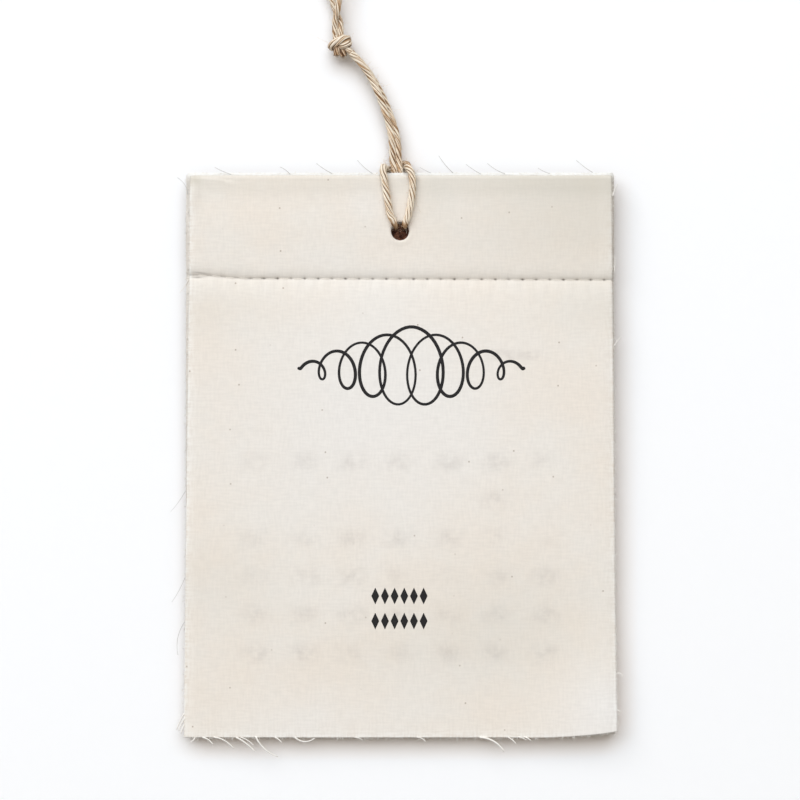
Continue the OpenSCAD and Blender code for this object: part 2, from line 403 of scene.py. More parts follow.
# Cotton thread: pale, with the slanting twist of its two plies as a fine wave
def threadMaterial(name, light, dark):
    material, tree = newMaterial(name, 0.85)
    where = objectPlace(tree)
    given = {"Vector": where, "Scale": threadLook["twistScale"], "Distortion": threadLook["wander"]}
    twist = addNode(tree, "ShaderNodeTexWave", given, bands_direction="DIAGONAL").outputs["Fac"]
    share = times(twist, noiseOf(where, threadLook["toneScale"]))
    return finished(material, mixColour(share, light, dark), twist, 0.4, 0.00005)


sewingThread = threadMaterial("sewingThread", (0.86, 0.81, 0.73, 1), (0.7, 0.63, 0.54, 1))
looseThread = threadMaterial("looseThread", (0.95, 0.92, 0.87, 1), (0.86, 0.81, 0.74, 1))
# Fine threads: the same thread in darker greys, painted shade for thin threads that lie half in shade
shadedFineThread = threadMaterial("shadedFineThread", (0.67, 0.66, 0.63, 1), (0.55, 0.54, 0.51, 1))
juteLook = {
    "fibre": (0.16, 4.2, 4.2), "lines": (0.09, 2.3, 2.3), "patch": (0.1, 0.4, 0.4),  # noise along and across
    "shares": {
        "fibre": 0.28, "patch": 0.26, "lines": 0.67, "pale": 0.28, "grooveShade": -0.85, "paleGrooveShade": -0.6,
    },
    "tones": (
        (0.0, (0.12, 0.053, 0.022, 1)), (0.25, (0.41, 0.238, 0.116, 1)),
        (0.5, (0.72, 0.503, 0.31, 1)), (0.76, (1.0, 0.89, 0.73, 1)),
    ),
}


# Jute: long fibre streaks in the strand's own straightened coordinates, with painted shade in the grooves
# between plies
def juteMaterial():
    material, tree = newMaterial("juteTwine", 0.8)
    laid = attributeOf(tree, "straight", "Vector")

    def streaks(key, detail=2.0, roughness=0.5):
        return noiseOf(stretched(laid, juteLook[key]), 1.0, detail, roughness)

    found = {key: attributeOf(tree, key) for key in ("pale", "grooveShade")}
    found["fibre"] = rangeOf(streaks("fibre", 3.0, 0.6), 0.33, 0.67)
    found["lines"] = rangeOf(streaks("lines"), 0.38, 0.58)
    found["patch"] = streaks("patch")
    found["paleGrooveShade"] = times(found["grooveShade"], found["pale"])
    level = 0.0
    for key, share in juteLook["shares"].items():
        level = mathOf("MULTIPLY_ADD", found[key], share, level)
    ramp = addNode(tree, "ShaderNodeValToRGB", {"Fac": level})
    marks = ramp.color_ramp.elements
    for place, colour in juteLook["tones"][2:]:
        marks.new(place)
    for mark, (place, colour) in zip(marks, juteLook["tones"]):
        mark.position = place
        mark.color = colour
    return finished(material, ramp.outputs["Color"], found["fibre"], 0.6, 0.00025)


juteTwine = juteMaterial()
inkLook = {"full": (0.014, 0.013, 0.013, 1), "thin": (0.06, 0.055, 0.05, 1), "worn": 0.35}


# Ink: near black, a little thin where the weave stands up through it
def inkMaterial():
    material, tree = newMaterial("printInk", 0.75)
    woven = placeWeave(tree)[1]
    worn = rangeOf(woven["Streak"], 0.5, 0.75, 0.0, inkLook["worn"])
    tone = mixColour(worn, inkLook["full"], inkLook["thin"])
    return finished(material, tone, woven["Height"], 0.3, 0.00005)


printInk = inkMaterial()
print("materials made")

# Camera level with the middle of the photo's frame, and the frame's width at the cover
view = {"midX": 24.0, "midZ": -169.4, "width": 281.6, "lens": 100.0, "sensor": 36.0}


def addCamera():
    data = bpy.data.cameras.new("camera")
    data.lens = view["lens"]
    data.sensor_width = view["sensor"]
    camera = bpy.data.objects.new("camera", data)
    back = view["width"] * view["lens"] / view["sensor"]
    camera.location = Vector((view["midX"], stack["frontY"] - back, view["midZ"])) * mm
    camera.rotation_euler = (math.pi / 2, 0, 0)
    scene.collection.objects.link(camera)
    scene.camera = camera


addCamera()

# Twine: five plies laid to the left, with finer fibre ridges on them
twine = {
    "diameter": 2.3,
    "plies": 5,
    "plyLength": 15.5,                       # one turn of the plies
    "plyCentre": 0.6, "plyRadius": 0.42,     # of the strand's radius
    # the dark of the grooves is painted shade
    "groovePower": 2.4,                      # how narrow the dark of the grooves is
    "ridges": ((12, 1.0, 2.2, 21.0), (17, 0.7, 3.0, 15.0)),  # count, share, sway and length of the sway
    "ridgeDepth": 0.045,
    "fatter": 0.05, "fatLength": 9.0,        # uneven thickness
    "sides": 60,
    "step": 0.5, "knotStep": 0.35,
    "legSpacing": 2.0,                       # the legs of the pair press into each other here
    "legTurn": 11.0,
    "pressX": 2.0, "press": 0.22, "pressZ": (-30, -6),  # the loop's ends are pressed together by the knot
}
# Y of the strands: behind the sheets, before them, at the top edge and in the hole
backLay, frontLay, edgeLay, holeLay = -1.35, -8.16, -7.66, -4.68
frontTurn, backTurn, frontFace = -7.26, -2.1, stack["frontY"]
# Routes of the solids, from above the top edge to the knot and round the hitch
pairRoute = [
    (22.9, backLay, -88), (22.4, -1.3, -84), (22.3, -1.3, -79.5), (21.6, -1.2, -74.5), (20.2, -1.2, -69.5),
    (18.4, -1.1, -64.5), (16.2, -1.1, -59.5), (13.5, -1, -54.5), (9.8, -1, -49.5), (6.7, -1, -46.4),
]
leftBack = [(22, backLay, -92), (22.4, backLay, -98), (22.7, backLay, -104), (22.75, backLay, -107.4)]
rightBack = [(24.6, backLay, -92), (25, backLay, -98), (25.2, backLay, -104), (25.25, backLay, -107.4)]
leftHole = [
    (22.6, backTurn, -108.4), (22.5, holeLay, -108.5), (22.4, frontTurn, -108.2), (21.9, frontLay, -106.9),
]
rightHole = [
    (25.4, backTurn, -108.4), (25.5, holeLay, -108.4), (25.6, frontTurn, -108.1), (26.0, frontLay, -106.8),
]
leftFront = [
    (20.9, frontLay, -105), (19.8, frontLay, -100), (19, frontLay, -95), (18.3, frontLay, -90.6),
    (18, edgeLay, -88.6), (18.1, frontFace, -87.6), (18.5, -3.4, -87.2), (19.2, -0.1, -87.4),
    (21.2, 1.4, -87.6),
]
rightFront = [
    (26.7, frontLay, -105), (27.8, frontLay, -100), (28.4, frontLay, -95), (28.3, frontLay, -91),
    (27.7, edgeLay, -88.9), (27, frontFace, -87.8), (26.6, -3.4, -86.7), (26.2, 0, -85.8),
    (24.6, 1.5, -85.6),
]
loopRoute = [
    (0.8, -1, -40.5), (0.8, -1, -38), (0.8, -1.9, -35), (1.7, -2.3, -32), (2.4, -1.8, -28), (3.4, -1, -23),
    (4.6, -0.3, -17), (4.8, 0, -11), (4.4, 0, -5), (3.3, 0, -0.5), (1.6, 0, 2.2), (-1.6, 0, 2.2),
    (-3.3, 0, -0.5), (-4.4, 0, -5), (-4.8, 0, -11), (-4.2, 0, -17), (-1.9, 0.3, -23), (0.1, 0.5, -28),
    (1.4, 0.5, -32), (2.9, -0.1, -35), (3.2, -1, -38), (3.2, -1, -40.5),
]


# One leg of the pair: the shared route stepped aside, and turned a little more at each point
def legPath(side):
    route = np.array(pairRoute, float)
    last = len(route) - 1
    along = np.concatenate([route[1:2] - route[:1], route[2:] - route[:-2], route[-1:] - route[-2:-1]])
    along[last - 1] = along[last]
    across = unit(np.cross((0, 1, 0), along))
    turn = np.radians(twine["legTurn"] * np.minimum(np.arange(last + 1), last - 1))[:, None]
    aside = np.cos(turn) * across + np.sin(turn) * np.array((0, 1, 0))
    return route + side * twine["legSpacing"] / 2 * aside


# A laid strand along a path. Its ring is the outer outline of its round plies, which turns with the length,
# with fine ridges of fibre. It also gives the straightened place, the painted shade of its grooves and how
# pale it is
def twineArrays(path, axis, seed, pale, scale):
    length = runOf(path)
    side = np.arange(twine["sides"]) * 2 * np.pi / twine["sides"]
    centre, ply = twine["plyCentre"], twine["plyRadius"]
    share = 2 * np.pi / twine["plies"]
    offPly = (side + share / 2) % share - share / 2
    lobes = np.cos(offPly) * centre + np.sqrt(ply ** 2 - (np.sin(offPly) * centre) ** 2)
    ridge = sum(
        high * np.sin(side * count + sway * uneven(length, seed + i, reach)[:, None])
        for i, (count, high, sway, reach) in enumerate(twine["ridges"])
    )
    fat = 1 + twine["fatter"] * uneven(length, seed + 2, twine["fatLength"])
    radius = twine["diameter"] / 2 * np.broadcast_to(scale, length.shape)[:, None]
    radii = radius * (lobes * fat[:, None] + twine["ridgeDepth"] * ridge)
    turn = -2 * np.pi * length / twine["plyLength"]
    points = tubePoints(path[None], radii[None], axis, turn[None])[0]
    apart = seed * 7.0  # so that no two strands show the same streaks
    straight = np.stack(np.broadcast_arrays(length[:, None] + apart, np.cos(side), np.sin(side)), axis=-1)
    deep = 1 - (lobes - lobes.min()) / (lobes.max() - lobes.min())
    # Painted shade in the grooves between plies, deepest where the outline dips
    grooveShade = np.broadcast_to(deep ** twine["groovePower"], radii.shape)
    paleness = np.broadcast_to(np.broadcast_to(pale, length.shape)[:, None], radii.shape)
    return points, {"straight": straight.reshape(-1, 3), "grooveShade": grooveShade.ravel(), "pale": paleness.ravel()}


def makeTwine(name, strands):
    clouds, faces, found, start = [], [], [], 0
    for strand in strands:
        points, given = twineArrays(*strand)
        clouds.append(points.reshape(-1, 3))
        faces += [f + start for f in tubeFaces(1, *points.shape[:2])]
        found.append(given)
        start += len(clouds[-1])
    merged = {key: np.concatenate([given[key] for given in found]) for key in found[0]}
    return makePiece(name, np.concatenate(clouds), faces, juteTwine, merged)


leftRun = [*legPath(-1)[::-1], *leftBack, *leftHole, *leftFront]
rightRun = [*legPath(1)[::-1], *rightBack, *rightHole, *rightFront]
hitchPath = smoothPath(leftRun + rightRun[::-1], twine["step"])
loopPath = smoothPath(loopRoute, twine["step"])
pressed = twine["press"] * ease(loopPath[:, 2], *twine["pressZ"])
loopPath[:, 0] += (twine["pressX"] - loopPath[:, 0]) * pressed

# How pale the hitch is: bleached before the sheets and halfway up the pair, painted light over the top edge
# where the bight lies in shade, and painted shade in the hole, where it is also thinner. A pair of numbers
# is a start and a run for ease, or a middle and a width for bell
bleachAndShade = {
    "front": 0.75, "frontY": (-5.0, -2.5),
    "pair": 0.5, "pairZ": (-60, 11),
    "top": 1.5, "topZ": (-87.5, 1.6), "topX": (21.5, -2),
    "dive": 2.0, "diveZ": (-106.2, -1.4), "diveY": (-2, -1.5),
    "thick": 1.04, "thinner": 0.24, "thinZ": (-109, 2.2), "thinY": (-4.7, 3.4),
}
hitchX, hitchY, hitchZ = hitchPath.T
onFront = bleachAndShade["front"] * ease(hitchY, *bleachAndShade["frontY"])
upPair = bleachAndShade["pair"] * bell(hitchZ, *bleachAndShade["pairZ"])
# Painted light where the bight crosses the top edge in shade
overTop = bleachAndShade["top"] * bell(hitchZ, *bleachAndShade["topZ"]) * ease(hitchX, *bleachAndShade["topX"])
# Painted shade where the strands dive into the hole
dive = ease(hitchZ, *bleachAndShade["diveZ"]) * ease(hitchY, *bleachAndShade["diveY"])
pale = np.maximum(onFront, overTop) * (1 - dive) + upPair - bleachAndShade["dive"] * dive
inHole = bell(hitchZ, *bleachAndShade["thinZ"]) * bell(hitchY, *bleachAndShade["thinY"])
thick = bleachAndShade["thick"] - bleachAndShade["thinner"] * inHole
hitch = makeTwine("hitch_cord", [(hitchPath, (1, 0, 0), 3, pale, thick)])
hanger = makeTwine("hanger_cord", [(loopPath, (0, 1, 0), 11, 0.35, 0.9)])

# Knot: one thick band that slopes up to the right, its return below it, the strands that go in, and cut
# tails. Each strand: given points, the axis its rings are carried from, how pale it is and its thickness
down, upLeft = (0.2, 0.1, -1), (-0.6, 0.2, 0.8)
# The return and the tails under the band are darker: partly their own darker brown, partly painted shade
# under the band
knotStrands = [
    ([(0.9, 1.0, -43.8), (-0.3, -0.8, -44.1), (0.2, -2.5, -43.6), (2.2, -3.2, -42.5), (4.2, -2.8, -41.6),
      (5.5, -1.2, -41.5), (4.9, 0.7, -42.1)], (1, 0, 0), 0.6, 1.14),
    ([(4.5, 0.9, -42.5), (5.8, -0.8, -42.9), (5.5, -2.4, -43.5), (4.3, -2.8, -43.9), (3.1, -2.3, -44.0),
      (2.1, -1.3, -43.6)], (0, -1, 0), -0.6, 1.0),
    ([(1.07, -1, -40.4), (1.4, -1.2, -41.8), (2.2, -1.2, -43.4)], down, 0.1, 0.9),
    ([(2.93, -1, -40.4), (2.9, -1.0, -41.8), (2.8, -0.8, -43.4)], down, 0.0, 0.88),
    ([(1.8, -1.3, -43.8), (1.6, -1.9, -45.6), (1.6, -1.8, -47.4)], down, -0.85, 1.0),
    ([(3.6, -1.0, -43.8), (3.7, -1.5, -45.8), (4.0, -1.3, -47.6)], down, -1.05, 1.0),
    ([(6.7, -2.0, -46.4), (5.7, -2.0, -45.4), (4.5, -1.8, -44.2), (3.4, -1.2, -43.2)], upLeft, 0.1, 0.94),
    ([(6.7, 0, -46.4), (5.4, -0.1, -45.0), (4.1, 0, -43.8), (2.8, 0.2, -43.0)], upLeft, 0.0, 0.94),
]
tailStrands = (4, 5)
knotPaths = [smoothPath(strand[0], twine["knotStep"]) for strand in knotStrands]
tiedKnot = makeTwine("tied_knot", [
    (path, axis, 23 + 3 * i, pale, scale)
    for i, (path, (points, axis, pale, scale)) in enumerate(zip(knotPaths, knotStrands))
])
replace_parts(hitch, "hitch_twine")
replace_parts(hanger, "hanger_twine")
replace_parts(tiedKnot, "twine_knot")
print("twine made", lengthOf(hitchPath), lengthOf(loopPath))

# Fuzz: loose jute fibres that leave the strands at a slant and curl back, the frayed ends of the tails, and
# three longer hairs with given points
fuzz = {
    "everyMm": 0.2, "length": (0.6, 2.6), "shorter": (0.4, 1), "radius": 0.036, "rings": 6,
    "out": (0.5, 1.2), "slant": 0.9, "curl": 0.5, "root": 0.36,
    "tailFibres": 34, "tailLength": (0.7, 1.9), "tailWide": 0.38, "tailSpread": 0.45,
    "tip": 0.6, "pale": 0.35,
}
hairs = [
    [(-0.4, -2.2, -43.2), (-2.6, -2.6, -42.4), (-6.2, -2.2, -40.6), (-9.6, -1.6, -39.0)],
    [(22.2, -8.4, -104.4), (23.0, -8.7, -105.3), (24.0, -8.6, -106.5), (24.9, -8.2, -107.5)],
    [(21.9, -8.7, -105.2), (22.7, -9.0, -106.0), (23.6, -8.8, -107.2), (24.0, -8.4, -108.1)],
]
ringPlaces = np.linspace(0, 1, fuzz["rings"])[None, :, None]


# Curled fibres: from each start along its way, and bent aside by the square of the place on it
def curled(start, way, curl, size, t=ringPlaces):
    return start[:, None] + size * (way[:, None] * t + curl[:, None] * t * t)


# Each fibre: a start on the strand, a slanting way out, and a curl
def fuzzPaths(path, seed):
    draw = np.random.default_rng(seed)
    count = int(lengthOf(path) / fuzz["everyMm"])
    place = draw.integers(2, len(path) - 2, count)
    along = unit(path[np.minimum(place + 2, len(path) - 1)] - path[place - 2])
    out = unit(np.cross(along, draw.normal(size=(count, 3))))
    way = out * draw.uniform(*fuzz["out"], (count, 1)) + along * draw.normal(0, fuzz["slant"], (count, 1))
    curl = draw.normal(0, fuzz["curl"], (count, 3))
    size = draw.uniform(*fuzz["length"], (count, 1, 1)) * draw.uniform(*fuzz["shorter"], (count, 1, 1))
    return curled(path[place] + out * twine["diameter"] * fuzz["root"], way, curl, size)


# Fibres: tubes along many paths at once, thinner towards the tip
def makeFibres(name, paths, thick, material, sides=3):
    count, rings = paths.shape[:2]
    taper = np.linspace(1, fuzz["tip"], rings)[None, :, None] * np.broadcast_to(thick, count)[:, None, None]
    points = tubePoints(paths, np.repeat(taper, sides, axis=2), (0.31, 0.77, 0.55))
    straight = np.repeat(paths.reshape(-1, 3), sides, axis=0)
    flat = np.zeros(len(straight))
    given = {"straight": straight, "grooveShade": flat, "pale": flat + fuzz["pale"]}
    return makePiece(name, points, tubeFaces(count, rings, sides), material, given)


# Frayed end of a tail: fibres from all over its cut, straight down and curled apart
def tailFray(path, seed):
    draw = np.random.default_rng(seed)
    count = fuzz["tailFibres"]
    start = path[-2] + draw.normal(0, fuzz["tailWide"], (count, 3)) * (1, 1, 0.2)
    spread = draw.normal(0, fuzz["tailSpread"], (count, 3)) * (1, 0.6, 0.3)
    size = draw.uniform(*fuzz["tailLength"], (count, 1, 1))
    return curled(start, np.array([(0, 0, -1)]), spread, size)


# Six rings of each hair: every tenth of fifty steps
hairPaths = [smoothPath(points, lengthOf(np.array(points)) / 50)[:51:10] for points in hairs]
fuzzAll = np.concatenate(
    [fuzzPaths(path, 5 + i) for i, path in enumerate([hitchPath, loopPath, *knotPaths])]
    + [tailFray(knotPaths[k], 13 + k) for k in tailStrands] + [np.stack(hairPaths)]
)
makeFibres("twine_fuzz", fuzzAll, fuzz["radius"], juteTwine)
print("fuzz made", len(fuzzAll))

# Tangle in the hole: fibres curled in layers between front and back, whose dark brown is painted shade for
# the dark of the hole
tangle = {
    "count": 300, "reach": 3.1, "front": -5.4, "back": -2.9, "length": (1.6, 4.2), "radius": 0.12,
    "lift": 0.15, "curl": 0.3,
    "dark": (0.08, 0.028, 0.018, 1), "light": (0.27, 0.12, 0.07, 1), "toneScale": 900.0,
}


# Painted shade of the hole as brown fibre: two dark tones along its length
def shadeMaterial():
    material, tree = newMaterial("shadedJute", 0.9)
    share = rangeOf(noiseOf(objectPlace(tree), tangle["toneScale"]), 0.35, 0.65)
    return finished(material, mixColour(share, tangle["dark"], tangle["light"]))


# Each fibre: a random middle in the hole's disc, and a curled way across it that is drawn in where it would
# leave the disc
def tanglePaths():
    draw = np.random.default_rng(44)
    count = tangle["count"]
    angle = draw.uniform(0, 2 * np.pi, count)
    far = np.sqrt(draw.uniform(0, 1, count)) * tangle["reach"]
    deep = draw.uniform(tangle["front"], tangle["back"], count)
    middle = np.stack([far * np.cos(angle), deep, far * np.sin(angle)], axis=1)
    heading = draw.uniform(0, 2 * np.pi, count)
    way = np.stack([np.cos(heading), draw.normal(0, tangle["lift"], count), np.sin(heading)], axis=1)
    curl = draw.normal(0, tangle["curl"], (count, 3)) * (1, 0.3, 1)
    size = draw.uniform(*tangle["length"], (count, 1, 1))
    paths = curled(middle, way, 2 * curl, size, ringPlaces - 0.5)
    out = np.hypot(paths[..., 0], paths[..., 2])
    paths[..., ::2] *= np.minimum(1, tangle["reach"] / np.maximum(out, 1e-6))[..., None]
    return paths + (hole["x"], 0, hole["z"])


makeFibres("hole_shade_fibres", tanglePaths(), tangle["radius"], shadeMaterial())
print("hole filled")

# Cover: its cut outline and its seam
cover = {
    "topLeft": -49.9, "lowLeft": -52.0, "topRight": 98.6, "lowRight": 100.2,
    "topEdge": stack["topZ"] - 0.3, "lowEdge": stack["lowZ"],
    "cornerRise": 2.4, "cornerFrom": 68.0, "cornerRun": 32.0,
    "seamTilt": -0.0045, "seamOff": -0.85, "seamRise": 1.1, "riseX": (-28, -20),
    "stitch": 4.8, "stitches": 30, "stitchVary": 2.4,
}
# Pull of the seam and edges. A pair of numbers is a middle and a width
drawn = {
    "valley": 1.34, "above": 1.5, "vary": 0.4, "varyLength": 58.0, "below": 4.8,
    "even": 0.94, "beat": 0.06, "ripple": 0.05, "rippleZ": (-1.5, 2.4),
    "edgeDrop": 0.4, "edgeRound": 1.4,
    "sides": 0.3, "sideX": (-50.9, 99.6), "sideHalf": 1.8,
    "dents": [(cover["topLeft"], cover["topEdge"], 3.4, 3.2, 0.45), (-47.5, -126.5, 3.2, 0.6, 0.3)],
}
# Swell of the header and of what hangs below the seam. A pair is a middle and a width, or a start and a run
bulge = {
    "header": 0.4, "headerZ": (-108, 11), "headerClear": 11,
    "drop": 162, "below": 0.55, "belowRate": 14, "belly": 0.7,
    "wave": 0.16, "waveGrow": 5, "sineX": 21, "sineZ": 90, "phase": 0.8, "cosineX": 160, "cosineZ": 33,
    "corner": 2.6, "cornerX": (52, 50), "cornerZ": (-238, -52),
    "lip": 0.3, "lipFade": 4.5, "lipOver": 34, "lipClear": 9,
    "rim": 0.28, "rimAt": (4.0, 0.7), "rimZ": (hole["z"] + 1, -3),
}
# Gap at the header's sides, where the cover's raw edges stand off the month sheets
gap = {
    "rightX": (93, 5), "rightZ": (-142, 22), "left": 2.0, "leftX": (-45, -4), "leftZ": (-97, 6),
    "coverShare": -0.35, "pageShare": 0.75,
}
# Cut edges: how ragged they are, and how far their white threads reach in
ragged = {
    "side": 0.16, "sideLength": 7.0, "end": 0.14, "endLength": 6.0, "waves": 9,
    "pageFray": 0.9, "coverFray": 1.1, "coverShare": 0.7,
}
# Needle holes: half width and height, place, depth, and the painted shade that darkens them
pits = {
    "half": 0.46, "tall": 0.33, "up": 0.08, "depth": 0.12, "dark": 0.74, "vary": 0.26, "fromX": (-34, 12),
}
# Painted shade of the creases at the seam's left end
crease = {
    "line": 0.3, "lineHalf": 0.3, "lineEnd": (-30, 14),
    "upper": 0.4, "upperX": (-46.4, 2.6), "upperZ": -124.3, "upperHalf": 0.28, "upperTilt": 0.12,
    "upperFrom": -49, "lower": [(-47.4, -126.2, 1.7, 0.3, 0.45)],
}
# Soft patches of the cover, darker and lighter: place in X and Z, half width, half height and share
# Partly aged and bleached cloth, partly painted shade and light: shade over the header's upper right, light
# on the lifted lower right corner
agedAndShadedSpots = [
    (96, -98, 48, 24, 0.46), (24, -93.3, 400, 4, 0.26), (-48.4, -91.7, 2.6, 2.0, 0.55),
    (62, -246, 36, 20, 0.2), (-42, -234, 26, 15, 0.15), (-52, -137, 34, 9, 0.18),
    (100, -137, 26, 9, 0.22), (34, -258, 60, 12, 0.1), (35.5, -98, 6, 10, 0.12),
]
bleachedAndLitSpots = [
    (16, -172, 48, 42, 0.85), (97, -278, 17, 17, 0.9), (-10, -282, 26, 9, 0.4), (12, -98, 7, 9, 0.45),
]


# Sum of the patches, each a bell across times a bell in height
def patches(x, z, spots):
    return sum(share * bell(x, midX, wide) * bell(z, midZ, tall) for midX, midZ, wide, tall, share in spots)


# The seam's line: straight with a slight tilt, and drawn up at its left end by a wrinkle
def seamLine(x):
    straight = stack["seamZ"] + cover["seamOff"] + cover["seamTilt"] * (x - stack["midX"])
    return straight + cover["seamRise"] * ease(x, *cover["riseX"])


# Needle holes: even steps to both sides of the middle
def needleX(k):
    return stack["midX"] + (k - cover["stitches"] / 2) * cover["stitch"]


# Inward pull: a sharp valley along the seam, deepest at the needle holes, and the rounding of the edges. The
# month sheets are as deep all along the seam as at the holes, so that none comes through the cover
def pull(x, z, number):
    off = z - seamLine(x)
    above = drawn["above"] * (1 + drawn["vary"] * uneven(x, 71, drawn["varyLength"]))
    rate = np.where(off > 0, above, drawn["below"])
    beat = np.cos(2 * np.pi * (x - needleX(0)) / cover["stitch"]) if number == 0 else 1.0
    valley = drawn["valley"] * np.exp(-np.abs(off) / rate) * (drawn["even"] + drawn["beat"] * beat)
    ripple = drawn["ripple"] * beat * bell(off, *drawn["rippleZ"])
    near = np.clip(1 - (cover["topEdge"] - z) / drawn["edgeRound"], 0, 1.6)
    sides = drawn["sides"] * sum(bell(x, side, drawn["sideHalf"]) for side in drawn["sideX"])
    return valley + sides + ripple + drawn["edgeDrop"] * near ** 2 + patches(x, z, drawn["dents"])


# Forward swell: the header between edge and seam, the sheets below the seam with slow waves, the lower right
# corner, a lip under the top edge and a rim below the hole
def swell(x, z):
    header = bulge["header"] * bell(z, *bulge["headerZ"]) * (1 - bell(x, hole["x"], bulge["headerClear"]))
    hang = np.clip((seamLine(x) - z) / bulge["drop"], 0, 1)
    below = bulge["below"] * (1 - np.exp(-hang * bulge["belowRate"])) + bulge["belly"] * hang ** 2
    sine = np.sin(x / bulge["sineX"] + bulge["phase"] + z / bulge["sineZ"])
    cosine = np.cos(z / bulge["cosineZ"] + x / bulge["cosineX"])
    waves = bulge["wave"] * ease(hang * bulge["waveGrow"]) * (1 + sine * cosine)
    corner = bulge["corner"] * ease(x, *bulge["cornerX"]) * ease(z, *bulge["cornerZ"])
    lip = bulge["lip"] * np.exp((z - cover["topEdge"]) / bulge["lipFade"])
    lip = lip * (z < seamLine(x) + bulge["lipOver"]) * (1 - bell(x, hole["x"], bulge["lipClear"]))
    far = np.hypot(x - hole["x"], z - hole["z"])
    rim = bulge["rim"] * bell(far, *bulge["rimAt"]) * ease(z, *bulge["rimZ"])
    return header + below + waves + corner + lip + rim


# Stand-off at the header's sides: two smooth steps on the right, a step and a bell on the left
def standOff(x, z):
    right = ease(x, *gap["rightX"]) * ease(z, *gap["rightZ"])
    return right + gap["left"] * ease(x, *gap["leftX"]) * bell(z, *gap["leftZ"])


# Front face of a sheet: its place in the stack, less what the seam pulls in, more what it swells
def sheetY(x, z, number):
    share = 1 - number / (stack["pageCount"] + 1)
    apart = standOff(x, z) * (gap["coverShare"] if number == 0 else gap["pageShare"] * share)
    return stack["frontY"] + number * stack["pitch"] + (pull(x, z, number) - swell(x, z)) * share + apart


# Stops of a grid: even steps of about the given size over each run, end to end
def stops(*runs):
    steps = [np.linspace(a, b, max(2, round(abs(b - a) / step) + 1))[:-1] for a, b, step in runs]
    return np.append(np.concatenate(steps), runs[-1][1])


# Square rings about the hole become round ones, and less so further out
def roundHole(x, z):
    dx, dz = x - hole["x"], z - hole["z"]
    square = np.maximum(np.abs(dx), np.abs(dz))
    far = np.maximum(np.hypot(dx, dz), 1e-6)
    share = 1 - ease(square, hole["grid"], hole["reach"] - hole["grid"])
    grow = 1 + share * (square / far * hole["radius"] / hole["grid"] - 1)
    return hole["x"] + dx * grow, hole["z"] + dz * grow


# Rise of the cut at the lower right corner: a parabola from a start on
def cutRise(x, outline):
    return outline["cornerRise"] * np.clip((x - cover["cornerFrom"]) / cover["cornerRun"], 0, 1.1) ** 2


# Painted shade of the creases at the seam's left end: along the seam, and two short folds beside it
def creaseShade(x, z):
    line = crease["line"] * bell(z, seamLine(x), crease["lineHalf"]) * (1 - ease(x, *crease["lineEnd"]))
    fold = crease["upperZ"] - crease["upperTilt"] * (x - crease["upperFrom"])
    upper = crease["upper"] * bell(z, fold, crease["upperHalf"]) * bell(x, *crease["upperX"])
    return line + upper + patches(x, z, crease["lower"])


# Needle holes of the cover: a bell across times a bell in height at each, and how strong the painted shade
# in each is
def stitchPits(x, z):
    k = np.round((x - needleX(0)) / cover["stitch"])
    inRow = (k >= 0) & (k <= cover["stitches"])
    near = bell(x, needleX(k), pits["half"]) * bell(z, seamLine(x) + pits["up"], pits["tall"]) * inRow
    return near, pits["dark"] + pits["vary"] * np.sin(k * cover["stitchVary"])


# A sheet: a grid of columns and rows stretched to the cut outline, with the hole's cells left out
def makeSheet(name, columns, rows, outline, number, material):
    x, z = roundHole(*np.meshgrid(columns, rows))
    down = (rows[0] - rows[:, None]) / (rows[0] - rows[-1])
    across = (columns - columns[0]) / (columns[-1] - columns[0])
    leftX = outline["topLeft"] + (outline["lowLeft"] - outline["topLeft"]) * down
    rightX = outline["topRight"] + (outline["lowRight"] - outline["topRight"]) * down
    x = x + (leftX - columns[0]) * (1 - across) ** 3 + (rightX - columns[-1]) * across ** 3
    z = z + cutRise(x, outline) * down ** 12
    sideRag = ragged["side"] * uneven(rows, 40 + number, ragged["sideLength"], ragged["waves"])[:, None]
    endRag = ragged["end"] * uneven(columns, 60 + number, ragged["endLength"], ragged["waves"])
    x = x + sideRag * (across == 1) - sideRag[::-1] * (across == 0)
    z = z + endRag * ((down == 0) * 1.0 - (down == 1))
    y = sheetY(x, z, number)
    pitShade = agedAndShaded = bleachedAndLit = np.zeros_like(x)
    frayed = np.exp(-(rows[0] - z) / ragged["pageFray"])
    if number == 0:
        inside = np.minimum(np.minimum(x - leftX, rightX - x), z - outline["lowEdge"])
        frayed = ragged["coverShare"] * np.exp(-np.maximum(inside, 0) / ragged["coverFray"])
        # Darker and lighter patches, partly painted shade and light
        agedAndShaded, bleachedAndLit = patches(x, z, agedAndShadedSpots), patches(x, z, bleachedAndLitSpots)
        near, dark = stitchPits(x, z)
        y = y + pits["depth"] * near
        # Painted shade in the needle holes and along the creases at the seam's left end
        pitShade = near * ease(x, *pits["fromX"]) * dark + creaseShade(x, z)
    offX = np.abs(columns[:-1] + columns[1:] - 2 * hole["x"])
    offZ = np.abs(rows[:-1] + rows[1:] - 2 * hole["z"])
    index = np.arange(x.size).reshape(x.shape)
    quads = np.stack([index[:-1, :-1], index[1:, :-1], index[1:, 1:], index[:-1, 1:]], axis=-1)
    quads = quads[np.maximum(offX[None], offZ[:, None]) > 2 * hole["grid"]]
    used, packed = np.unique(quads, return_inverse=True)
    points = np.stack([x, y, z], axis=-1).reshape(-1, 3)[used]
    given = {"seamShade": pitShade, "agedAndShaded": agedAndShaded, "bleachedAndLit": bleachedAndLit, "frayed": np.clip(frayed, 0, 1)}
    given = {key: values.ravel()[used] for key, values in given.items()}
    piece = makePiece(name, points, [packed.reshape(quads.shape)], material, given)
    wall = piece.modifiers.new("thickness", "SOLIDIFY")
    wall.thickness = stack["clothThick"] * mm
    wall.offset = -1
    wall.use_rim = True
    return piece


